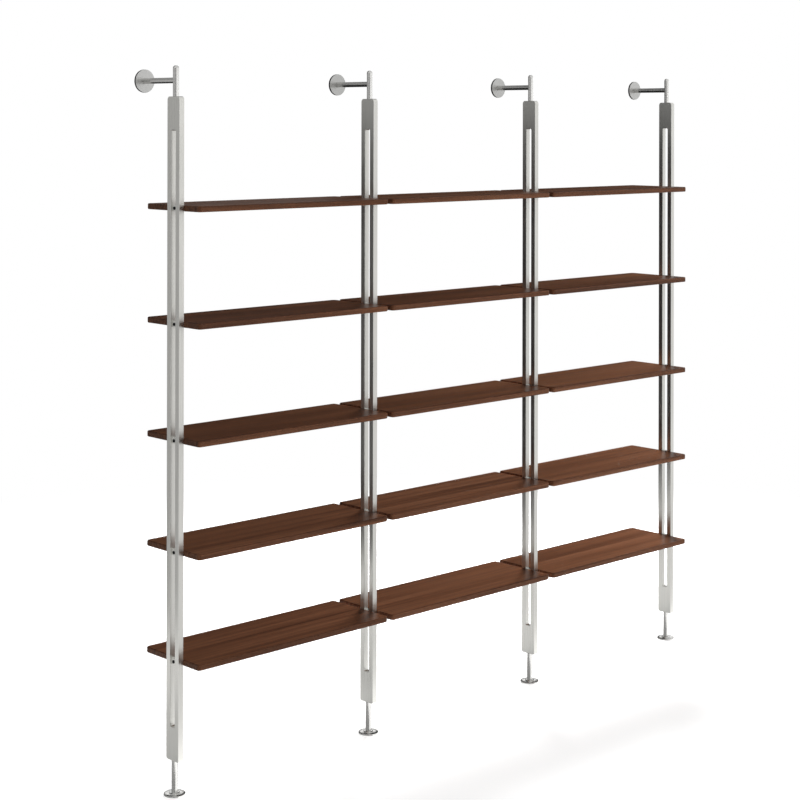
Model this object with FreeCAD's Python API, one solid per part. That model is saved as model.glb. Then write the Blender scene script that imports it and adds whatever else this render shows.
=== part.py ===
import FreeCAD, Part
import os

# Floor-to-ceiling bookcase: slotted metal uprights on levelling feet, tied to the wall at the top,
# and wooden shelves carried at each level by clamp blocks that slide in the slots.
# Millimetres. +X runs along the row, +Y points to the wall, +Z points up from the floor.

# Row
bay_count = 3
bay_pitch = 865
overall_height = 2400
upright_wall_distance = 181

# Shelves
shelf_depth = 295
shelf_thickness = 20
shelf_corner_radius = 12
shelf_wall_gap = 2
level_1_height = 448
level_2_height = 807
level_3_height = 1175
level_4_height = 1558
level_5_height = 1940
level_heights = [level_1_height, level_2_height, level_3_height, level_4_height, level_5_height]

# Uprights
upright_depth = 66
upright_thickness = 20
upright_floor_distance = 114
upright_top_corner_radius = 11
upright_bottom_corner_radius = 7
upright_edge_chamfer = 2
slot_width = 26
top_end_length = 110
bottom_end_length = 110

# Top pins and wall arms
pin_diameter = 20
pin_height = 102
pin_spigot_diameter = 12
pin_spigot_length = 40
arm_diameter = 19
arm_drop = 49
arm_bore_diameter = 8.5
arm_thread_hole_diameter = 6.8
arm_thread_hole_length = 35

# Wall rosettes
rosette_diameter = 78
rosette_thickness = 8
rosette_stud_hole_diameter = 9

# Levelling feet
stem_diameter = 20
foot_screw_diameter = 12
foot_screw_length = 60
foot_diameter = 72
foot_rim_height = 6

# Clamp blocks
clamp_inset = 1
clamp_face_recess = 5
tongue_width = 16
tongue_height = 11
tongue_length = 12

# Fits
sliding_clearance = 0.3
shaft_clearance = 0.05
bore_end_gap = 3
cut_overrun = 2
plane_tolerance = 0.01

# Directions and turns
along_row = FreeCAD.Vector(1, 0, 0)
to_wall = FreeCAD.Vector(0, 1, 0)
upward = FreeCAD.Vector(0, 0, 1)
origin = FreeCAD.Vector()
full_turn = 360
half_turn = 180
quarter_turn = 90

# Derived places
wall_y = (shelf_depth + shelf_wall_gap) / 2
upright_y = wall_y - upright_wall_distance
shelf_middle_y = wall_y - shelf_wall_gap - shelf_depth / 2 - upright_y
upright_top = overall_height - pin_height
upright_height = upright_top - upright_floor_distance
arm_z = overall_height - arm_drop
shelf_length = bay_pitch - upright_thickness - 2 * sliding_clearance
shelf_end = upright_thickness / 2 + sliding_clearance
clamp_height = shelf_thickness - 2 * clamp_inset
clamp_depth = slot_width - 2 * sliding_clearance
clamp_outer_face = upright_thickness / 2 - clamp_face_recess
upright_count = bay_count + 1


def upright_x(index):
    return (index - bay_count / 2) * bay_pitch


def turned(points):
    """Solid of revolution about Z from its (radius, height) outline."""
    corners = [FreeCAD.Vector(radius, 0, height) for radius, height in points]
    face = Part.Face(Part.makePolygon(corners + corners[:1]))
    return face.revolve(origin, upward, full_turn)


def rod(diameter, low, high):
    """Round bar along Z."""
    return Part.makeCylinder(diameter / 2, high - low, upward * low)


def pointed_to_wall(shape):
    """Turns what was drawn along +Z to run along +Y."""
    shape.rotate(origin, along_row, -quarter_turn)
    return shape


def straight_edges(shape, direction):
    """Edges whose two ends lie one beyond the other in a direction."""
    found = []
    for edge in shape.Edges:
        if len(edge.Vertexes) == 2:
            run = edge.Vertexes[1].Point - edge.Vertexes[0].Point
            if run.Length - abs(run.dot(direction)) < plane_tolerance:
                found.append(edge)
    return found


def block(size_x, size_y, size_z, middle):
    """Box about a middle point."""
    corner = middle - FreeCAD.Vector(size_x, size_y, size_z) / 2
    return Part.makeBox(size_x, size_y, size_z, corner)


def chamfered(shape, direction, size):
    """Shape with the edges that run in a direction chamfered."""
    return shape.makeChamfer(size, straight_edges(shape, direction))


def rounded(shape, direction, radius, low, high):
    """Shape with the edges that run in a direction, and lie between two heights, rounded."""
    edges = [edge for edge in straight_edges(shape, direction)
             if edge.BoundBox.ZMin > low - plane_tolerance and edge.BoundBox.ZMax < high + plane_tolerance]
    return shape.makeFillet(radius, edges)


def upright():
    """Flat bar with a long through slot, rounded ends and a bore in each end, axis on X = Y = 0."""
    middle = upright_floor_distance + upright_height / 2
    bar = block(upright_thickness, upright_depth, upright_height, upward * middle)
    bar = chamfered(bar, upward, upright_edge_chamfer)
    outline = block(upright_thickness + 2 * cut_overrun, upright_depth, upright_height, upward * middle)
    outline = rounded(outline, along_row, upright_top_corner_radius, middle, upright_top)
    outline = rounded(outline, along_row, upright_bottom_corner_radius, upright_floor_distance, middle)

    slot_bottom = upright_floor_distance + bottom_end_length
    slot_top = upright_top - top_end_length
    slot_middle = upward * ((slot_bottom + slot_top) / 2)
    slot = block(upright_thickness + 2 * cut_overrun, slot_width, slot_top - slot_bottom, slot_middle)
    pin_bore = rod(pin_spigot_diameter + 2 * shaft_clearance,
                   upright_top - pin_spigot_length - bore_end_gap, upright_top + cut_overrun)
    screw_bore = rod(foot_screw_diameter + 2 * shaft_clearance, upright_floor_distance - cut_overrun,
                     upright_floor_distance + foot_screw_length + bore_end_gap)
    return bar.common(outline).cut([slot, pin_bore, screw_bore])


def top_pin():
    """Round pin with a spigot down into the upright."""
    radius = pin_diameter / 2
    spigot = pin_spigot_diameter / 2
    low = upright_top - pin_spigot_length
    return turned([(0, overall_height), (radius, overall_height), (radius, upright_top),
                   (spigot, upright_top), (spigot, low), (0, low)])


def wall_arm():
    """Tube coped to the pin, narrowed at its far end to the threaded hole for the stud from the wall."""
    length = upright_wall_distance - rosette_thickness
    thread_start = length - arm_thread_hole_length
    arm = rod(arm_diameter, 0, length)
    pin = Part.makeCylinder(pin_diameter / 2, 2 * arm_diameter, -to_wall * arm_diameter, to_wall)
    bore = rod(arm_bore_diameter, 0, thread_start)
    hole = rod(arm_thread_hole_diameter, thread_start - cut_overrun, length + cut_overrun)
    arm = pointed_to_wall(arm.cut([pin, bore, hole]))
    arm.translate(upward * arm_z)
    return arm


def wall_rosette():
    """Round cover between the arm's end and the wall, with a hole for the stud."""
    rim = rosette_diameter / 2
    stud = rosette_stud_hole_diameter / 2
    front = upright_wall_distance - rosette_thickness
    disc = turned([(stud, front), (rim, front), (rim, upright_wall_distance), (stud, upright_wall_distance)])
    disc = pointed_to_wall(disc)
    disc.translate(upward * arm_z)
    return disc


def foot():
    """Round disc with a stem, and a levelling screw up into the upright."""
    rim = foot_diameter / 2
    stem = stem_diameter / 2
    screw = foot_screw_diameter / 2
    shoulder = upright_floor_distance - sliding_clearance
    top = shoulder + foot_screw_length
    return turned([(0, 0), (rim, 0), (rim, foot_rim_height), (stem, foot_rim_height),
                   (stem, shoulder), (screw, shoulder), (screw, top), (0, top)])


def shelf():
    """Plank with rounded corners and a mortise in each end on the slot's line."""
    plank = block(shelf_length, shelf_depth, shelf_thickness, to_wall * shelf_middle_y)
    plank = rounded(plank, upward, shelf_corner_radius, -shelf_thickness / 2, shelf_thickness / 2)
    reach = tongue_length + shaft_clearance + cut_overrun
    width = tongue_width + 2 * shaft_clearance
    height = tongue_height + 2 * shaft_clearance
    mortises = []
    for side in (-1, 1):
        place = along_row * (side * (shelf_length / 2 + cut_overrun - reach / 2))
        mortises.append(block(reach, width, height, place))
    return plank.cut(mortises)


def clamp_block(shared):
    """Block that fills the slot, with a tongue into the shelf on +X; a shared one has a tongue on each side."""
    low = -shelf_end if shared else -clamp_outer_face
    body = block(shelf_end - low, clamp_depth, clamp_height, along_row * ((shelf_end + low) / 2))
    tip = shelf_end + tongue_length
    tail = -tip if shared else low
    tongue = block(tip - tail, tongue_width, tongue_height, along_row * ((tip + tail) / 2))
    return body.fuse(tongue).removeSplitter()


def placed(shape, x, z, mirrored=False):
    """Copy of a shape at an upright or bay, turned half round where it faces the other way."""
    copy = shape.copy()
    if mirrored:
        copy.rotate(origin, upward, half_turn)
    copy.translate(FreeCAD.Vector(x, upright_y, z))
    return copy


def save(node, shape):
    shape.exportStep("parts/" + node + ".step")


def build_uprights():
    column = {"upright": upright(), "top_pin": top_pin(), "wall_arm": wall_arm(),
              "wall_rosette": wall_rosette(), "foot": foot()}
    for index in range(upright_count):
        for name, shape in column.items():
            save(name + "_" + str(index + 1), placed(shape, upright_x(index), 0))


def build_level(number, top):
    middle = top - shelf_thickness / 2
    for bay in range(bay_count):
        x = (upright_x(bay) + upright_x(bay + 1)) / 2
        save("shelf_" + str(number) + "_" + str(bay + 1), placed(shelf(), x, middle))
    clamps = []
    for index in range(upright_count):
        shared = 0 < index < bay_count
        mirrored = index == bay_count
        clamps.append(placed(clamp_block(shared), upright_x(index), middle, mirrored))
    save("level_" + str(number) + "_clamps", Part.makeCompound(clamps))


def main():
    os.makedirs("parts", exist_ok=True)
    build_uprights()
    for number, top in enumerate(level_heights, start=1):
        build_level(number, top)


main()
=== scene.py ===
import math

import bpy
from bpy.props import FloatProperty, FloatVectorProperty, IntProperty, PointerProperty
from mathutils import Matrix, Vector


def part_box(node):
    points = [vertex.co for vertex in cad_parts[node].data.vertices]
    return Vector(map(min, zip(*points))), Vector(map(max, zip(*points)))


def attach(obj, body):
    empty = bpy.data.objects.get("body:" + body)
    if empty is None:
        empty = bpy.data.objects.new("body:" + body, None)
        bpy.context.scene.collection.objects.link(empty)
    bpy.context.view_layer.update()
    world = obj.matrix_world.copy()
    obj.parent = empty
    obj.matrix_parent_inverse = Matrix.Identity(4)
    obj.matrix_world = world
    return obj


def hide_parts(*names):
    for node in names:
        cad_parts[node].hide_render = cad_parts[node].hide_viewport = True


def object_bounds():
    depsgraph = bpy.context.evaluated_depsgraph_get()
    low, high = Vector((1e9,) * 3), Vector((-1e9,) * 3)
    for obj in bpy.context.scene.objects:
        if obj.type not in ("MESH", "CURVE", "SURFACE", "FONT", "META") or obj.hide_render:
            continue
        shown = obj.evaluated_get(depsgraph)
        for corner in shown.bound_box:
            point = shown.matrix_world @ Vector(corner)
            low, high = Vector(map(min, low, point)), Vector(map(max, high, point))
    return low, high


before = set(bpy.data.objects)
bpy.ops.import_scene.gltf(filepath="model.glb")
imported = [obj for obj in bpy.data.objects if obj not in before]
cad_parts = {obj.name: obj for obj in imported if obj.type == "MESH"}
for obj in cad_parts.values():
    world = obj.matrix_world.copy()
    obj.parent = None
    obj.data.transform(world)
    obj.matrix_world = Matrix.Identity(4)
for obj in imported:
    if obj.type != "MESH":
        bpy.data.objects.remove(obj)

bl_info = {
    "name": "Floor-to-ceiling bookcase",
    "version": (1, 0, 0),
    "blender": (4, 5, 0),
    "location": "View3D > Sidebar > Bookcase",
    "description": "Builds the looks of a bookcase of slotted metal uprights and walnut shelves",
    "category": "Object",
}

CAD_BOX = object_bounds()
LEVELS = range(1, 6)
BAYS = range(1, 4)
UPRIGHTS = range(1, 5)

# Sizes in metres that the fits between the pieces settle
SHAFT_RADIUS = 0.006
SHAFT_BORE_RADIUS = 0.00605
BORE_END_GAP = 0.003
STEM_RADIUS = 0.010
STUD_HOLE_RADIUS = 0.0034
STUD_HOLE_LENGTH = 0.035
ARM_BORE_RADIUS = 0.00425
ROSETTE_HOLE_RADIUS = 0.0045
SLIDING_CLEARANCE = 0.0003

# How far a cutting shape runs out of what it cuts
CUT_OVERRUN = 0.01

# What edges and faces are selected by
X_AXIS, Z_AXIS = 0, 2
PARALLEL_SHARE = 0.999
SAME_HEIGHT = 1e-5
FACING_UP = 0.9

# Scales of the patterns on X, Y and Z: low along the lines of a grain and high across them
BRUSHED_UPWARDS = (700, 700, 5)
TURNED_UPRIGHT = (60, 60, 900)
TURNED_TO_WALL = (60, 900, 60)
EVEN_GRAIN = (40, 40, 40)
FINE_GRAIN = (300, 300, 300)
CLOUD = (9, 9, 4)
BROAD_FIGURE = (0.5, 11, 8)
STREAKS = (1.0, 95, 60)
PORES = (14, 620, 620)

# How far the walnut's pattern moves on from one bay's sheet of veneer to the next
SHEET_JUMP = 3.7

# Roughness of the finishes that have no setting
CLAMP_ROUGHNESS = 0.36
BOLT_ROUGHNESS = 0.38

# Floor: its size, its own glow, and the distances between which it turns white
FLOOR_SIZE = 160
FLOOR_LIFT = 0.74
FADE_START, FADE_END = 2.2, 4.4

# Camera: width of the sensor in millimetres, and how far it sees in metres
SENSOR_WIDTH = 36
FARTHEST_SEEN = 400

# Cards that only reflections see: name, place, tilt and turn in degrees, width, height and glow
CARDS = [
    # Upright, behind the row
    ("back_card", (0.55, 1.0, 2.7), 90, 0, 4.5, 5.0, 0.02),
    ("upper_card", (-0.72, 0.98, 2.35), 90, 0, 2.0, 0.3, 0.42),
    ("arm_card", (0.0, 0.6, 2.72), 90, 0, 3.9, 0.46, 0.35),
    ("side_card", (-3.3, 1.0, 2.7), 90, 0, 3.2, 5.0, 0.55),
    # Small and low, one for the disc of each foot
    *[("disc_card_{}".format(number), (x, 0.65, 0.316), 90, 0, 0.36, 0.22, 1.7)
      for number, x in enumerate((-0.80, 0.19, 1.18, 2.17), start=1)],
    # Upright, in front and at the sides
    ("camera_card", (-8.2, -8.4, 2.2), 90, -45, 3.6, 4.4, 0.12),
    ("left_card", (-8.8, -1.9, 2.6), 90, -78, 8.0, 1.4, 0.3),
    ("front_card", (2.2, -8.8, 2.6), 90, 15, 2.6, 1.4, 2.5),
    ("right_card", (8.8, -1.9, 2.6), 90, 75, 3.6, 1.4, 2.5),
    # Flat on the floor
    ("pale_strip", (0, -0.2625, 0.0006), 0, 0, 3.4, 0.475, 1.7),
    ("dim_strip", (0, 0.05, 0.0006), 0, 0, 3.4, 0.15, 0.3),
    ("far_strip", (-1.5, 0.435, 0.0006), 0, 0, 1.5, 0.62, 0.62),
    # Flat on the floor, one on the left of each foot
    *[("patch_{}".format(number), (x, -0.03, 0.0012), 0, 0, 0.48, 0.46, 0.42)
      for number, x in enumerate((-1.5475, -0.6825, 0.1825, 1.0475), start=1)],
]


# Sizes and colours that a user may change

class ShelfSettings(bpy.types.PropertyGroup):
    """Roundings and walnut of the shelves"""
    corner_radius: FloatProperty(name="Corner radius",
                                 description="Rounding of the four corners seen from above",
                                 default=0.012, min=0.001, unit="LENGTH")
    edge_radius: FloatProperty(name="Edge radius",
                               description="Rounding of the upper and lower edges",
                               default=0.004, min=0.0005, unit="LENGTH")
    light_wood: FloatVectorProperty(name="Light grain",
                                    description="Colour of the pale streaks of the walnut",
                                    subtype="COLOR", size=4, min=0, max=1,
                                    default=(0.30, 0.132, 0.068, 1))
    middle_wood: FloatVectorProperty(name="Middle grain", description="Main colour of the walnut",
                                     subtype="COLOR", size=4, min=0, max=1,
                                     default=(0.185, 0.076, 0.038, 1))
    dark_wood: FloatVectorProperty(name="Dark grain",
                                   description="Colour of the dark streaks of the walnut",
                                   subtype="COLOR", size=4, min=0, max=1,
                                   default=(0.090, 0.036, 0.019, 1))
    roughness: FloatProperty(name="Lacquer roughness", description="Roughness of the satin lacquer",
                             default=0.36, min=0, max=1, subtype="FACTOR")


class UprightSettings(bpy.types.PropertyGroup):
    """Roundings, slot and metal of the uprights"""
    top_corner_radius: FloatProperty(name="Top corner radius",
                                     description="Rounding of the two upper corners",
                                     default=0.011, min=0.001, unit="LENGTH")
    bottom_corner_radius: FloatProperty(name="Bottom corner radius",
                                        description="Rounding of the two lower corners",
                                        default=0.007, min=0.001, unit="LENGTH")
    edge_radius: FloatProperty(name="Edge radius",
                               description="Rounding of the long edges and of the slot",
                               default=0.0007, min=0.0002, unit="LENGTH")
    slot_width: FloatProperty(name="Slot width", description="Width of the long slot",
                              default=0.026, min=0.005, unit="LENGTH")
    slot_corner_radius: FloatProperty(name="Slot corner radius",
                                      description="Rounding of the slot's corners",
                                      default=0.005, min=0.001, unit="LENGTH")
    end_length: FloatProperty(name="End length",
                              description="Solid bar beyond each end of the slot",
                              default=0.110, min=0.02, unit="LENGTH")
    metal: FloatVectorProperty(name="Metal",
                               description="Colour of the satin aluminium", subtype="COLOR",
                               size=4, min=0, max=1, default=(0.60, 0.595, 0.565, 1))
    roughness: FloatProperty(name="Roughness", description="Roughness of the satin aluminium",
                             default=0.30, min=0, max=1, subtype="FACTOR")


class RodSettings(bpy.types.PropertyGroup):
    """Roundings and metal of the pins, arms and rosettes"""
    segments: IntProperty(name="Segments",
                          description="Faces round a turned piece", default=64, min=12)
    dome_radius: FloatProperty(name="Dome radius", description="Rounding of a pin's top",
                               default=0.0082, min=0.001, unit="LENGTH")
    rosette_edge_radius: FloatProperty(name="Rosette edge radius",
                                       description="Rounding of a rosette's rim",
                                       default=0.0012, min=0.0002, unit="LENGTH")
    rod_metal: FloatVectorProperty(name="Rod metal",
                                   description="Colour of the pins, arms and feet",
                                   subtype="COLOR", size=4, min=0, max=1,
                                   default=(0.56, 0.555, 0.54, 1))
    rod_roughness: FloatProperty(name="Rod roughness",
                                 description="Roughness of the pins, arms and feet",
                                 default=0.22, min=0, max=1, subtype="FACTOR")
    rosette_metal: FloatVectorProperty(name="Rosette metal",
                                       description="Colour of the satin rosettes",
                                       subtype="COLOR", size=4, min=0, max=1,
                                       default=(0.46, 0.46, 0.45, 1))
    rosette_roughness: FloatProperty(name="Rosette roughness",
                                     description="Roughness of the satin rosettes",
                                     default=0.34, min=0, max=1, subtype="FACTOR")


class FootSettings(bpy.types.PropertyGroup):
    """Disc, collar and screw of the feet"""
    rim_height: FloatProperty(name="Rim height", description="Height of the disc's rim",
                              default=0.006, min=0.001, unit="LENGTH")
    collar_radius: FloatProperty(name="Collar radius",
                                 description="Radius of the low collar round the stem",
                                 default=0.018, min=0.011, unit="LENGTH")
    collar_height: FloatProperty(name="Collar height",
                                 description="Height of the collar above the disc",
                                 default=0.0025, min=0.001, unit="LENGTH")
    thread_pitch: FloatProperty(name="Thread pitch",
                                description="Distance between the screw's threads",
                                default=0.00175, min=0.0005, unit="LENGTH")
    thread_depth: FloatProperty(name="Thread depth", description="Depth of the screw's threads",
                                default=0.0008, min=0.0001, unit="LENGTH")


class BoltSettings(bpy.types.PropertyGroup):
    """Size and metal of the clamp bolts"""
    radius: FloatProperty(name="Head radius", description="Radius of a bolt's head",
                          default=0.0055, min=0.001, unit="LENGTH")
    height: FloatProperty(name="Head height",
                          description="How far a bolt's head stands out of its block",
                          default=0.0022, min=0.0005, unit="LENGTH")
    socket_radius: FloatProperty(name="Socket radius",
                                 description="Corner radius of the hexagon socket",
                                 default=0.0026, min=0.0005, unit="LENGTH")
    metal: FloatVectorProperty(name="Metal",
                               description="Colour of the blackened steel", subtype="COLOR",
                               size=4, min=0, max=1, default=(0.022, 0.022, 0.024, 1))


class StageSettings(bpy.types.PropertyGroup):
    """Camera, light and floor"""
    camera_place: FloatVectorProperty(name="Camera place", description="Where the camera stands",
                                      subtype="TRANSLATION", size=3,
                                      default=(-4.81575, -4.80992, 2.22275))
    camera_heading: FloatProperty(name="Camera heading",
                                  description="Turn of the camera from +Y towards +X",
                                  subtype="ANGLE", default=0.759747)
    camera_roll: FloatProperty(name="Camera roll", description="Small lean of the camera",
                               subtype="ANGLE", default=0.001903)
    lens: FloatProperty(name="Lens", description="Focal length in millimetres on a 36 mm sensor",
                        default=80.476)
    shift_x: FloatProperty(name="Sideways shift", description="Sideways shift of the lens",
                           default=-0.00067)
    shift_y: FloatProperty(name="Upright shift", description="Upright shift of the lens",
                           default=-0.35037)
    key_power: FloatProperty(name="Key light",
                             description="Power of the soft light behind on the right",
                             default=300, unit="POWER")
    fill_power: FloatProperty(name="Fill light",
                              description="Power of the soft light from the front",
                              default=100, unit="POWER")
    daylight: FloatProperty(name="Daylight",
                            description="Strength of the even light from all sides",
                            default=0.19)
    floor_colour: FloatVectorProperty(name="Floor", description="Colour of the plain floor",
                                      subtype="COLOR", size=4, min=0, max=1,
                                      default=(0.82, 0.82, 0.82, 1))


# Selecting and shaping

def clear_selection():
    """Leaves no object selected."""
    if bpy.context.object and bpy.context.object.mode != "OBJECT":
        bpy.ops.object.mode_set(mode="OBJECT")
    bpy.ops.object.select_all(action="DESELECT")


def select_only(piece):
    """Selects one piece and makes it the active one."""
    clear_selection()
    piece.select_set(True)
    bpy.context.view_layer.objects.active = piece


def pick(piece, kind, test):
    """Enters edit mode with the faces or edges selected that pass a test."""
    bpy.ops.object.mode_set(mode="EDIT")
    bpy.ops.mesh.select_mode(type=kind)
    bpy.ops.mesh.select_all(action="DESELECT")
    bpy.ops.object.mode_set(mode="OBJECT")
    for part in piece.data.polygons if kind == "FACE" else piece.data.edges:
        part.select = test(part)
    bpy.ops.object.mode_set(mode="EDIT")


def edge_ends(piece, edge):
    """The two end points of an edge."""
    return [piece.data.vertices[index].co for index in edge.vertices]


def runs_along(piece, edge, axis):
    """True where an edge is parallel to an axis."""
    first, second = edge_ends(piece, edge)
    step = second - first
    return abs(step[axis]) > PARALLEL_SHARE * step.length


def lies_at(piece, edge, height):
    """True where both ends of an edge lie at a height."""
    return all(abs(end.z - height) < SAME_HEIGHT for end in edge_ends(piece, edge))


def settle(piece):
    """Puts the piece's place, turn and scale in its mesh."""
    select_only(piece)
    bpy.ops.object.transform_apply(location=True, rotation=True, scale=True)


def move_to(piece, place):
    """Moves a piece to its place."""
    piece.location = place
    settle(piece)


def apply_modifier(piece, kind, **settings):
    """Adds a modifier to the active piece and applies it."""
    bpy.ops.object.modifier_add(type=kind)
    modifier = piece.modifiers[-1]
    for name, value in settings.items():
        setattr(modifier, name, value)
    bpy.ops.object.modifier_apply(modifier=modifier.name)


def soften(piece, radius, segments=3):
    """Rounds the sharp edges and evens out the shading."""
    settle(piece)
    bpy.ops.object.shade_smooth()
    apply_modifier(piece, "BEVEL", width=radius, segments=segments, limit_method="ANGLE",
                   angle_limit=math.radians(30), miter_outer="MITER_ARC")
    apply_modifier(piece, "WEIGHTED_NORMAL", keep_sharp=True)


def box_between(name, low, high):
    """A block between two corners, settled and active."""
    clear_selection()
    low, high = Vector(low), Vector(high)
    bpy.ops.mesh.primitive_cube_add(size=1, location=(low + high) / 2, scale=high - low)
    piece = bpy.context.object
    piece.name = piece.data.name = name
    settle(piece)
    return piece


def round_edges(piece, radius, segments, test):
    """Rounds the edges that pass a test."""
    pick(piece, "EDGE", test)
    bpy.ops.mesh.bevel(offset=radius, offset_type="OFFSET", segments=segments, profile=0.5,
                       affect="EDGES")
    bpy.ops.object.mode_set(mode="OBJECT")


def turned(name, outline, segments):
    """A turned piece on the Z axis: a disc drawn up through its outline's radii and heights."""
    clear_selection()
    (radius, low), (_, high) = outline[:2]
    bpy.ops.mesh.primitive_cylinder_add(vertices=segments, radius=radius, depth=high - low,
                                        location=(0, 0, (low + high) / 2))
    piece = bpy.context.object
    piece.name = piece.data.name = name
    settle(piece)
    pick(piece, "FACE", lambda face: face.normal.z > FACING_UP)
    scale = outline[1][0] / radius
    bpy.ops.transform.resize(value=(scale, scale, 1), center_override=(0, 0, high))
    for (old, below), (new, above) in zip(outline[1:], outline[2:]):
        bpy.ops.mesh.extrude_region_move(TRANSFORM_OT_translate={"value": (0, 0, above - below)})
        bpy.ops.transform.resize(value=(new / old, new / old, 1), center_override=(0, 0, above))
    bpy.ops.mesh.select_all(action="SELECT")
    bpy.ops.mesh.normals_make_consistent(inside=False)
    settle(piece)
    return piece


def rounded_rim(radius, height, size, middle):
    """Three points of an outline that round the upper rim of a disc or collar."""
    return [(radius, height - size), (radius - middle, height - middle), (radius - size, height)]


def lay_towards_wall(piece):
    """Turns a piece drawn along +Z to run along +Y."""
    piece.rotation_euler = (-math.pi / 2, 0, 0)
    settle(piece)


def cut_away(piece, cutter):
    """Cuts a shape out of a piece."""
    select_only(piece)
    apply_modifier(piece, "BOOLEAN", operation="DIFFERENCE", solver="EXACT", object=cutter)
    discard(cutter)


# Copying and handing over

def put_copy(piece, name, offset):
    """A copy of a piece with its own mesh, moved by an offset."""
    select_only(piece)
    bpy.ops.object.duplicate_move(TRANSFORM_OT_translate={"value": offset})
    copy = bpy.context.object
    copy.name = copy.data.name = name
    settle(copy)
    return copy


def discard(piece):
    """Removes a cutting shape, or a pattern piece once its copies are placed."""
    bpy.data.objects.remove(piece)


def hand_over(piece, body, finish, node=None):
    """Gives a piece its finish and its body, and hides the node that it stands for, if any."""
    piece.data.materials.clear()
    piece.data.materials.append(finish)
    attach(piece, body)
    if node:
        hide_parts(node)


def place_row(pattern, name, node, body, finish):
    """Copies a pattern from the first upright to all four. The names take an upright's number."""
    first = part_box(node.format(UPRIGHTS[0]))[0]
    for number in UPRIGHTS:
        replaced = node.format(number)
        piece = put_copy(pattern, name.format(number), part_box(replaced)[0] - first)
        hand_over(piece, body.format(number), finish, replaced)
    discard(pattern)


# Finishes

def add_node(finish, kind, links=None, **settings):
    """A shader node with its settings, and its sockets set or linked by name or number."""
    tree = finish.node_tree
    made = tree.nodes.new("ShaderNode" + kind)
    for name, value in settings.items():
        setattr(made, name, value)
    for name, value in (links or {}).items():
        if isinstance(value, bpy.types.NodeSocket):
            tree.links.new(value, made.inputs[name])
        else:
            made.inputs[name].default_value = value
    return made


def link(finish, source, target):
    finish.node_tree.links.new(source, target)


def cleared(holder, kind="OutputMaterial"):
    """Clears the nodes of a material or world and gives it its output node."""
    holder.use_nodes = True
    holder.node_tree.nodes.clear()
    return add_node(holder, kind)


def new_finish(name):
    """An empty material with its output and main shader."""
    finish = bpy.data.materials.new(name)
    output = cleared(finish)
    shader = add_node(finish, "BsdfPrincipled")
    link(finish, shader.outputs[0], output.inputs[0])
    return finish, shader


def calculate(finish, operation, *values):
    """The result of a sum, product or other operation on one or two values."""
    return add_node(finish, "Math", dict(enumerate(values)), operation=operation).outputs[0]


def scaled(finish, colour, factor):
    """A colour made brighter or darker by a factor."""
    return add_node(finish, "VectorMath", {0: colour, "Scale": factor},
                    operation="SCALE").outputs[0]


def ramp(finish, factor, stops):
    """A colour ramp with its stops."""
    made = add_node(finish, "ValToRGB", {0: factor})
    band = made.color_ramp
    while len(band.elements) < len(stops):
        band.elements.new(1)
    for element, (place, colour) in zip(band.elements, stops):
        element.position, element.color = place, colour
    return made.outputs[0]


def grey(value):
    return (value, value, value, 1)


def stretched(finish, vector, scale):
    """Coordinates stretched by a scale on each axis."""
    return add_node(finish, "Mapping", {0: vector, 3: scale}).outputs[0]


def noise(finish, vector, detail, distortion=0.0):
    """Values of a noise pattern."""
    return add_node(finish, "TexNoise", {"Vector": vector, "Scale": 1.0, "Detail": detail,
                                         "Distortion": distortion}).outputs[0]


def spread(finish, value, low, high, start=0.3, end=0.7):
    """A pattern's values from start to end, brought between two limits."""
    return add_node(finish, "MapRange", {0: value, 1: start, 2: end, 3: low, 4: high}).outputs[0]


def edge_wear_and_highlight(finish, brightest, sharpest):
    """A factor above 1 along the sharp edges: partly edge wear and partly a painted highlight."""
    pointed = add_node(finish, "NewGeometry").outputs["Pointiness"]
    return spread(finish, pointed, 1.0, brightest, 0.5, sharpest)


def raise_surface(finish, shader, height, strength, distance):
    """Gives the surface a fine relief."""
    raised = add_node(finish, "Bump", {"Height": height, "Strength": strength,
                                       "Distance": distance}).outputs[0]
    link(finish, raised, shader.inputs["Normal"])


def satin_metal(name, colour, roughness, grain, contrast=0.06, bump=0.05, rim=1.0):
    """Brushed or satin metal with a fine grain, slightly clouded, and brighter along its edges
    (partly edge wear, partly a painted highlight).

    Faces that point away from Y have only the share rim of its brightness: painted shade,
    as on the dark rim of a rosette.
    """
    finish, shader = new_finish(name)
    shader.inputs["Metallic"].default_value = 1
    place = add_node(finish, "TexCoord").outputs["Object"]
    fine = noise(finish, stretched(finish, place, grain), detail=3)
    cloud = noise(finish, stretched(finish, place, CLOUD), detail=3)
    shade = calculate(finish, "MULTIPLY", spread(finish, fine, 1 - contrast, 1 + contrast),
                      spread(finish, cloud, 0.95, 1.05))
    # Brighter edges: partly edge wear and partly a painted highlight
    shade = calculate(finish, "MULTIPLY", shade, edge_wear_and_highlight(finish, 1.12, 0.56))
    # Painted shade: faces that point away from Y, such as a rosette's rim, are darkened to the
    # share rim of the brightness
    if rim < 1:
        normal = add_node(finish, "NewGeometry").outputs["Normal"]
        along_y = add_node(finish, "SeparateXYZ", {0: normal}).outputs[1]
        painted_rim_shade_mask = calculate(finish, "ABSOLUTE", along_y)
        shade = calculate(finish, "MULTIPLY", shade, spread(finish, painted_rim_shade_mask, rim, 1.0, 0.6, 0.98))
    link(finish, scaled(finish, tuple(colour)[:3], shade), shader.inputs["Base Color"])
    rough = calculate(finish, "ADD", spread(finish, fine, roughness - 0.04, roughness + 0.04),
                      spread(finish, cloud, -0.02, 0.03))
    link(finish, rough, shader.inputs["Roughness"])
    raise_surface(finish, shader, fine, bump, 0.0002)
    return finish


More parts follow.
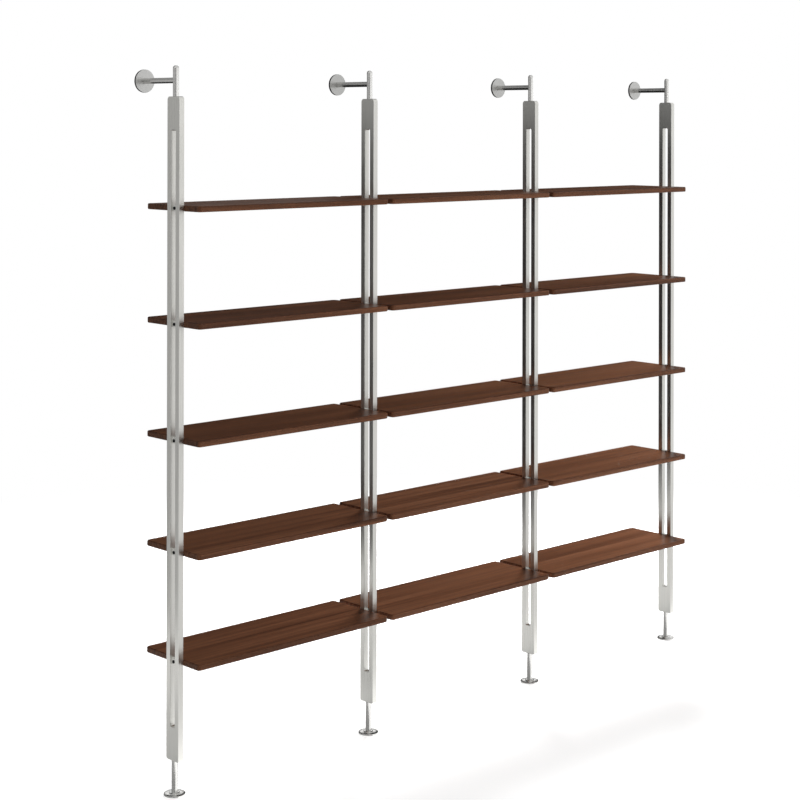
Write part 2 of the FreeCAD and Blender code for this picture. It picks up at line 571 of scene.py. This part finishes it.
def walnut(settings, bay_length):
    """Straight-grained walnut veneer under a satin lacquer, with a new sheet of it in each bay."""
    finish, shader = new_finish("walnut")
    place = add_node(finish, "TexCoord").outputs["Object"]
    along_row = add_node(finish, "SeparateXYZ", {0: place}).outputs[0]
    bay = calculate(finish, "ADD", calculate(finish, "DIVIDE", along_row, bay_length), 0.5)
    jump = calculate(finish, "MULTIPLY", calculate(finish, "FLOOR", bay), SHEET_JUMP)
    jump = add_node(finish, "CombineXYZ", {0: jump, 1: jump, 2: jump}).outputs[0]
    sheet = add_node(finish, "VectorMath", {0: place, 1: jump}, operation="ADD").outputs[0]

    broad = noise(finish, stretched(finish, sheet, BROAD_FIGURE), detail=3, distortion=0.3)
    streak = noise(finish, stretched(finish, sheet, STREAKS), detail=8, distortion=0.3)
    pore = noise(finish, stretched(finish, sheet, PORES), detail=2)
    mixed = calculate(finish, "ADD", spread(finish, broad, 0.0, 0.4),
                      spread(finish, streak, 0.0, 0.6))
    colour = ramp(finish, mixed, [(0.12, settings.dark_wood), (0.5, settings.middle_wood),
                                  (0.92, settings.light_wood)])
    fleck = ramp(finish, pore, [(0.34, grey(0.55)), (0.47, grey(1.0))])
    colour = add_node(finish, "Mix", {0: 0.55, 6: colour, 7: fleck}, data_type="RGBA",
                      blend_type="MULTIPLY").outputs[2]
    # Brighter rounded edges: partly edge wear and partly a painted highlight
    colour = scaled(finish, colour, edge_wear_and_highlight(finish, 1.1, 0.58))
    link(finish, colour, shader.inputs["Base Color"])
    link(finish, spread(finish, streak, settings.roughness - 0.05, settings.roughness + 0.07),
         shader.inputs["Roughness"])
    shader.inputs["Specular IOR Level"].default_value = 0.12
    height = calculate(finish, "ADD", spread(finish, pore, 0.0, 1.0, 0.34, 0.5),
                       spread(finish, streak, 0.0, 0.3))
    raise_surface(finish, shader, height, 0.12, 0.0003)
    return finish


# Operators

class AddShelves(bpy.types.Operator):
    """Fifteen walnut planks with rounded corners and soft edges"""
    bl_idname = "bookcase.add_shelves"
    bl_label = "Shelves"

    def execute(self, context):
        settings = context.scene.bookcase_shelves
        low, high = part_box("shelf_1_1")
        plank = box_between("plank_pattern", low, high)
        round_edges(plank, settings.corner_radius, 8, lambda edge: runs_along(plank, edge, Z_AXIS))
        round_edges(plank, settings.edge_radius, 4,
                    lambda edge: lies_at(plank, edge, high.z) or lies_at(plank, edge, low.z))
        bpy.ops.object.shade_smooth()
        apply_modifier(plank, "WEIGHTED_NORMAL", keep_sharp=True)
        finish = walnut(settings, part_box("shelf_1_2")[0].x - low.x)
        for level in LEVELS:
            for bay in BAYS:
                node = "shelf_{}_{}".format(level, bay)
                piece = put_copy(plank, "plank_{}_{}".format(level, bay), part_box(node)[0] - low)
                hand_over(piece, "level_{}".format(level), finish, node)
        discard(plank)
        return {"FINISHED"}


class AddUprights(bpy.types.Operator):
    """Four flat bars with a long slot, rounded corners and a bore in each end"""
    bl_idname = "bookcase.add_uprights"
    bl_label = "Uprights"

    def execute(self, context):
        settings = context.scene.bookcase_uprights
        low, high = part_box("upright_1")
        bar = box_between("bar_pattern", low, high)
        middle = (low + high) / 2
        round_edges(bar, settings.top_corner_radius, 10,
                    lambda edge: runs_along(bar, edge, X_AXIS) and lies_at(bar, edge, high.z))
        round_edges(bar, settings.bottom_corner_radius, 8,
                    lambda edge: runs_along(bar, edge, X_AXIS) and lies_at(bar, edge, low.z))
        half = settings.slot_width / 2
        slot = box_between("slot_cut",
                           (low.x - CUT_OVERRUN, middle.y - half, low.z + settings.end_length),
                           (high.x + CUT_OVERRUN, middle.y + half, high.z - settings.end_length))
        round_edges(slot, settings.slot_corner_radius, 6,
                    lambda edge: runs_along(slot, edge, X_AXIS))
        cut_away(bar, slot)
        spigot_end, screw_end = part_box("top_pin_1")[0].z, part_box("foot_1")[1].z
        for below, above in ((spigot_end - BORE_END_GAP, high.z + CUT_OVERRUN),
                             (low.z - CUT_OVERRUN, screw_end + BORE_END_GAP)):
            bore = turned("bore_cut", [(SHAFT_BORE_RADIUS, below), (SHAFT_BORE_RADIUS, above)], 32)
            move_to(bore, (middle.x, middle.y, 0))
            cut_away(bar, bore)
        soften(bar, settings.edge_radius)
        finish = satin_metal("satin_aluminium", settings.metal, settings.roughness, BRUSHED_UPWARDS)
        place_row(bar, "bar_{}", "upright_{}", "frame", finish)
        return {"FINISHED"}


class AddPins(bpy.types.Operator):
    """Four domed pins on top of the uprights"""
    bl_idname = "bookcase.add_pins"
    bl_label = "Top pins"

    def execute(self, context):
        settings = context.scene.bookcase_rods
        low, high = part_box("top_pin_1")
        radius = (high.x - low.x) / 2
        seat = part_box("upright_1")[1].z
        ease = 0.0006
        dome = settings.dome_radius
        steps = 10
        outline = [(SHAFT_RADIUS, low.z), (SHAFT_RADIUS, seat), (radius - ease, seat),
                   (radius, seat + ease), (radius, high.z - dome)]
        for step in range(1, steps + 1):
            turn = math.pi / 2 * step / steps
            outline.append((radius - dome * (1 - math.cos(turn)),
                            high.z - dome * (1 - math.sin(turn))))
        pin = turned("pin_pattern", outline, settings.segments)
        move_to(pin, ((low.x + high.x) / 2, (low.y + high.y) / 2, 0))
        bpy.ops.object.shade_smooth_by_angle(angle=math.radians(40))
        finish = satin_metal("satin_pins", settings.rod_metal, settings.rod_roughness,
                             TURNED_UPRIGHT)
        place_row(pin, "pin_{}", "top_pin_{}", "frame", finish)
        return {"FINISHED"}


class AddArms(bpy.types.Operator):
    """Four round arms from the pins to the wall, coped to the pins"""
    bl_idname = "bookcase.add_arms"
    bl_label = "Wall arms"

    def execute(self, context):
        settings = context.scene.bookcase_rods
        low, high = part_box("wall_arm_1")
        radius = (high.x - low.x) / 2
        axis_x, axis_z = (low.x + high.x) / 2, (low.z + high.z) / 2
        pin_low, pin_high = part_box("top_pin_1")
        pin_radius = (pin_high.x - pin_low.x) / 2
        pin_y = (pin_low.y + pin_high.y) / 2
        length = high.y - pin_y
        ease, bore_start, cope_reach = 0.0008, 0.002, 0.03
        arm = turned("arm_pattern",
                     [(radius, 0), (radius, length - ease), (radius - ease, length),
                      (STUD_HOLE_RADIUS + ease, length), (STUD_HOLE_RADIUS, length - ease),
                      (STUD_HOLE_RADIUS, length - STUD_HOLE_LENGTH),
                      (ARM_BORE_RADIUS, length - STUD_HOLE_LENGTH), (ARM_BORE_RADIUS, bore_start)],
                     settings.segments)
        lay_towards_wall(arm)
        move_to(arm, (axis_x, pin_y, axis_z))
        cope = turned("cope_cut", [(pin_radius, axis_z - cope_reach),
                                   (pin_radius, axis_z + cope_reach)], settings.segments)
        move_to(cope, (axis_x, pin_y, 0))
        cut_away(arm, cope)
        bpy.ops.object.shade_smooth_by_angle(angle=math.radians(40))
        finish = satin_metal("satin_arms", settings.rod_metal, settings.rod_roughness,
                             TURNED_TO_WALL)
        place_row(arm, "arm_{}", "wall_arm_{}", "frame", finish)
        return {"FINISHED"}


class AddRosettes(bpy.types.Operator):
    """Four satin discs between the arms and the wall"""
    bl_idname = "bookcase.add_rosettes"
    bl_label = "Wall rosettes"

    def execute(self, context):
        settings = context.scene.bookcase_rods
        low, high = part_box("wall_rosette_1")
        rim = (high.x - low.x) / 2
        thick = high.y - low.y
        disc = turned("rosette_pattern", [(rim, 0), (rim, thick)], 128)
        drill = turned("drill_cut", [(ROSETTE_HOLE_RADIUS, -CUT_OVERRUN),
                                     (ROSETTE_HOLE_RADIUS, thick + CUT_OVERRUN)], 48)
        cut_away(disc, drill)
        soften(disc, settings.rosette_edge_radius, segments=4)
        lay_towards_wall(disc)
        move_to(disc, ((low.x + high.x) / 2, low.y, (low.z + high.z) / 2))
        # The rim of each rosette is painted dark: painted shade, down to 0.12 of the brightness on
        # faces that don't point along Y
        finish = satin_metal("satin_rosettes_painted_rim_shade", settings.rosette_metal, settings.rosette_roughness,
                             EVEN_GRAIN, contrast=0.02, bump=0.01, rim=0.12)
        place_row(disc, "rosette_{}", "wall_rosette_{}", "frame", finish)
        return {"FINISHED"}


class AddFeet(bpy.types.Operator):
    """Four round feet with a low collar, a stem and a levelling screw"""
    bl_idname = "bookcase.add_feet"
    bl_label = "Levelling feet"

    def execute(self, context):
        settings = context.scene.bookcase_feet
        rods = context.scene.bookcase_rods
        low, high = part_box("foot_1")
        foot = turned("foot_pattern", self.disc_and_stem(settings, (high.x - low.x) / 2)
                      + self.screw(settings, high.z), rods.segments)
        move_to(foot, ((low.x + high.x) / 2, (low.y + high.y) / 2, low.z))
        bpy.ops.object.shade_smooth_by_angle(angle=math.radians(35))
        finish = satin_metal("satin_feet", rods.rod_metal, rods.rod_roughness, TURNED_UPRIGHT)
        place_row(foot, "levelling_foot_{}", "foot_{}", "leveller_{}", finish)
        return {"FINISHED"}

    def shoulder(self):
        """Height at which the stem ends, just under the upright."""
        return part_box("upright_1")[0].z - SLIDING_CLEARANCE

    def disc_and_stem(self, settings, rim):
        """Outline from the floor to the shoulder."""
        stem, shoulder = STEM_RADIUS, self.shoulder()
        top = settings.rim_height
        collar, rise = settings.collar_radius, top + settings.collar_height
        ease, fillet = 0.0008, 0.0004
        return [(rim - ease, 0), (rim, ease), *rounded_rim(rim, top, 0.0012, 0.0004),
                (collar + fillet, top), (collar, top + fillet),
                *rounded_rim(collar, rise, 0.0008, 0.0003),
                (stem + fillet, rise), (stem, rise + fillet),
                (stem, shoulder - ease), (stem - ease, shoulder)]

    def screw(self, settings, end):
        """Outline of the screw from the shoulder up, with a flat crest on each thread."""
        crest, root = SHAFT_RADIUS, SHAFT_RADIUS - settings.thread_depth
        pitch, lead, tip = settings.thread_pitch, 0.001, 0.0005
        height = self.shoulder() + lead
        outline = [(crest, self.shoulder()), (root, height)]
        while height < end - 2 * pitch:
            outline += [(crest, height + 0.4 * pitch), (crest, height + 0.6 * pitch),
                        (root, height + pitch)]
            height += pitch
        return outline + [(root, end - tip), (root - settings.thread_depth, end)]


class FinishClamps(bpy.types.Operator):
    """Finish of the clamp blocks in the slots"""
    bl_idname = "bookcase.finish_clamps"
    bl_label = "Clamp blocks"

    def execute(self, context):
        metal = context.scene.bookcase_uprights.metal
        finish = satin_metal("satin_clamps", metal, CLAMP_ROUGHNESS, BRUSHED_UPWARDS)
        for level in LEVELS:
            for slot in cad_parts["level_{}_clamps".format(level)].material_slots:
                slot.material = finish
        return {"FINISHED"}


class AddBolts(bpy.types.Operator):
    """Ten socket bolts in the clamp blocks of the two outer uprights"""
    bl_idname = "bookcase.add_bolts"
    bl_label = "Clamp bolts"

    def execute(self, context):
        settings = context.scene.bookcase_bolts
        head = self.make_head(settings)
        finish = satin_metal("blackened_bolts", settings.metal, BOLT_ROUGHNESS, FINE_GRAIN)
        bar_low, bar_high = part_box("upright_1")
        axis_y = (bar_low.y + bar_high.y) / 2
        for level in LEVELS:
            low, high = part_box("level_{}_clamps".format(level))
            for end, face, turn in (("left", low.x, -math.pi / 2), ("right", high.x, math.pi / 2)):
                piece = put_copy(head, "bolt_{}_{}".format(level, end), (0, 0, 0))
                piece.rotation_euler = (0, turn, 0)
                move_to(piece, (face, axis_y, (low.z + high.z) / 2))
                hand_over(piece, "level_{}".format(level), finish)
        discard(head)
        return {"FINISHED"}

    def make_head(self, settings):
        """A round head with a hexagon socket, drawn along +Z and sunk a little into its block."""
        radius, height = settings.radius, settings.height
        sunk, socket_depth, cut_length = 0.001, 0.0014, 0.004
        head = turned("bolt_pattern",
                      [(radius, -sunk), *rounded_rim(radius, height, 0.0007, 0.0002)], 40)
        clear_selection()
        bpy.ops.mesh.primitive_cylinder_add(vertices=6, radius=settings.socket_radius,
                                            depth=cut_length,
                                            location=(0, 0, height - socket_depth + cut_length / 2))
        socket = bpy.context.object
        settle(socket)
        cut_away(head, socket)
        bpy.ops.object.shade_smooth_by_angle(angle=math.radians(35))
        return head


class SetStage(bpy.types.Operator):
    """Plain pale floor, white background, soft lights and the camera"""
    bl_idname = "bookcase.set_stage"
    bl_label = "Stage"

    def execute(self, context):
        settings = context.scene.bookcase_stage
        self.make_floor(settings)
        self.make_cards()
        self.make_light(settings)
        self.make_world(context.scene, settings)
        self.make_camera(context.scene, settings)
        context.scene.view_settings.view_transform = "Standard"
        return {"FINISHED"}

    def make_floor(self, settings):
        """A pale floor that turns white further out, and that metal mirrors as plain white."""
        clear_selection()
        bpy.ops.mesh.primitive_plane_add(size=FLOOR_SIZE, location=(0, 0, CAD_BOX[0].z))
        floor = bpy.context.object
        floor.name = "floor"
        settle(floor)
        finish = bpy.data.materials.new("floor_paint")
        output = cleared(finish)
        paint = add_node(finish, "BsdfDiffuse", {0: settings.floor_colour})
        seen = self.seen_directly(finish)
        path = add_node(finish, "LightPath")
        direct, mirrored = path.outputs["Is Camera Ray"], path.outputs["Is Glossy Ray"]
        lift = calculate(finish, "MULTIPLY", direct, FLOOR_LIFT)
        glow = add_node(finish, "Emission", {0: grey(1), 1: lift})
        near = add_node(finish, "AddShader", {0: paint.outputs[0], 1: glow.outputs[0]})
        far = add_node(finish, "Emission", {0: grey(1), 1: 1.0})
        place = add_node(finish, "TexCoord").outputs["Object"]
        reach = add_node(finish, "VectorMath", {0: place}, operation="LENGTH").outputs["Value"]
        fade = add_node(finish, "MapRange", {0: reach, 1: FADE_START, 2: FADE_END},
                        interpolation_type="SMOOTHSTEP").outputs[0]
        fade = calculate(finish, "MULTIPLY", fade, seen)
        fade = calculate(finish, "MAXIMUM", fade, mirrored)
        mixed = add_node(finish, "MixShader", {0: fade, 1: near.outputs[0], 2: far.outputs[0]})
        link(finish, mixed.outputs[0], output.inputs[0])
        floor.data.materials.append(finish)

    def seen_directly(self, finish):
        """1 for what the camera sees straight, mirrored or through something, and 0 for light."""
        path = add_node(finish, "LightPath")
        either = calculate(finish, "MAXIMUM", path.outputs["Is Camera Ray"],
                           path.outputs["Is Glossy Ray"])
        return calculate(finish, "MAXIMUM", either, path.outputs["Is Transmission Ray"])

    def make_cards(self):
        """Plain cards that only reflections see. They give the metal its dark and bright sides."""
        for name, place, tilt, turn, width, height, glow in CARDS:
            clear_selection()
            bpy.ops.mesh.primitive_plane_add(size=1, location=place,
                                             rotation=(math.radians(tilt), 0, math.radians(turn)))
            card = bpy.context.object
            card.name = name
            card.scale = (width, height, 1)
            settle(card)
            card.data.materials.append(self.card_finish(name, glow))
            card.visible_camera = card.visible_shadow = card.visible_diffuse = False

    def card_finish(self, name, glow):
        """An even glow."""
        finish = bpy.data.materials.new(name)
        output = cleared(finish)
        shader = add_node(finish, "Emission", {0: grey(1), 1: glow})
        link(finish, shader.outputs[0], output.inputs[0])
        return finish

    def make_light(self, settings):
        """A key light from behind on the right and a fill light from the front.

        Reflections don't see them, because the cards stand in for both there.
        """
        for name, place, target, width, height, power in (
                ("key_light", (3.3, 2.6, 2.14), (0.2, 0, 0.6), 1.6, 0.4, settings.key_power),
                ("fill_light", (-0.2, -6.0, 1.0), (0.2, 0, 1.0), 3.0, 1.5, settings.fill_power)):
            clear_selection()
            bpy.ops.object.light_add(type="AREA", location=place)
            lamp = bpy.context.object
            lamp.name = name
            aim = Vector(target) - Vector(place)
            lamp.rotation_euler = aim.to_track_quat("-Z", "Y").to_euler()
            lamp.data.shape = "RECTANGLE"
            lamp.data.size, lamp.data.size_y = width, height
            lamp.data.energy = power
            lamp.visible_glossy = lamp.visible_camera = False

    def make_world(self, scene, settings):
        """An even daylight from all sides, seen as plain white."""
        world = bpy.data.worlds.new("white_room")
        scene.world = world
        output = cleared(world, "OutputWorld")
        light = add_node(world, "Background", {0: grey(1), 1: settings.daylight})
        white = add_node(world, "Background", {0: grey(1), 1: 1.0})
        mixed = add_node(world, "MixShader", {0: self.seen_directly(world), 1: light.outputs[0],
                                              2: white.outputs[0]})
        link(world, mixed.outputs[0], output.inputs[0])

    def make_camera(self, scene, settings):
        """A level camera whose lens is shifted to bring the whole height into the picture."""
        clear_selection()
        bpy.ops.object.camera_add(location=settings.camera_place,
                                  rotation=(math.pi / 2, -settings.camera_roll,
                                            -settings.camera_heading))
        camera = bpy.context.object
        camera.name = "camera"
        camera.data.lens = settings.lens
        camera.data.sensor_width = SENSOR_WIDTH
        camera.data.shift_x, camera.data.shift_y = settings.shift_x, settings.shift_y
        camera.data.clip_end = FARTHEST_SEEN
        scene.camera = camera


class BookcasePanel(bpy.types.Panel):
    """Lists the steps that dress the bookcase"""
    bl_idname = "VIEW3D_PT_bookcase"
    bl_label = "Bookcase"
    bl_space_type = "VIEW_3D"
    bl_region_type = "UI"
    bl_category = "Bookcase"

    def draw(self, context):
        for operator in OPERATORS:
            self.layout.operator(operator.bl_idname)
        for holder in SETTINGS:
            settings = getattr(context.scene, holder)
            for name in settings.__annotations__:
                self.layout.prop(settings, name)


SETTINGS = {"bookcase_shelves": ShelfSettings, "bookcase_uprights": UprightSettings,
            "bookcase_rods": RodSettings, "bookcase_feet": FootSettings,
            "bookcase_bolts": BoltSettings, "bookcase_stage": StageSettings}
OPERATORS = (AddShelves, AddUprights, AddPins, AddArms, AddRosettes, AddFeet, FinishClamps,
             AddBolts, SetStage)


def register():
    for kind in (*SETTINGS.values(), *OPERATORS, BookcasePanel):
        bpy.utils.register_class(kind)
    for holder, kind in SETTINGS.items():
        setattr(bpy.types.Scene, holder, PointerProperty(type=kind))


def unregister():
    for holder in SETTINGS:
        delattr(bpy.types.Scene, holder)
    for kind in (BookcasePanel, *OPERATORS[::-1], *SETTINGS.values()):
        bpy.utils.unregister_class(kind)


def main():
    register()
    bpy.ops.bookcase.add_shelves()
    bpy.ops.bookcase.add_uprights()
    bpy.ops.bookcase.add_pins()
    bpy.ops.bookcase.add_arms()
    bpy.ops.bookcase.add_rosettes()
    bpy.ops.bookcase.add_feet()
    bpy.ops.bookcase.finish_clamps()
    bpy.ops.bookcase.add_bolts()
    bpy.ops.bookcase.set_stage()


if __name__ == "__main__":
    main()
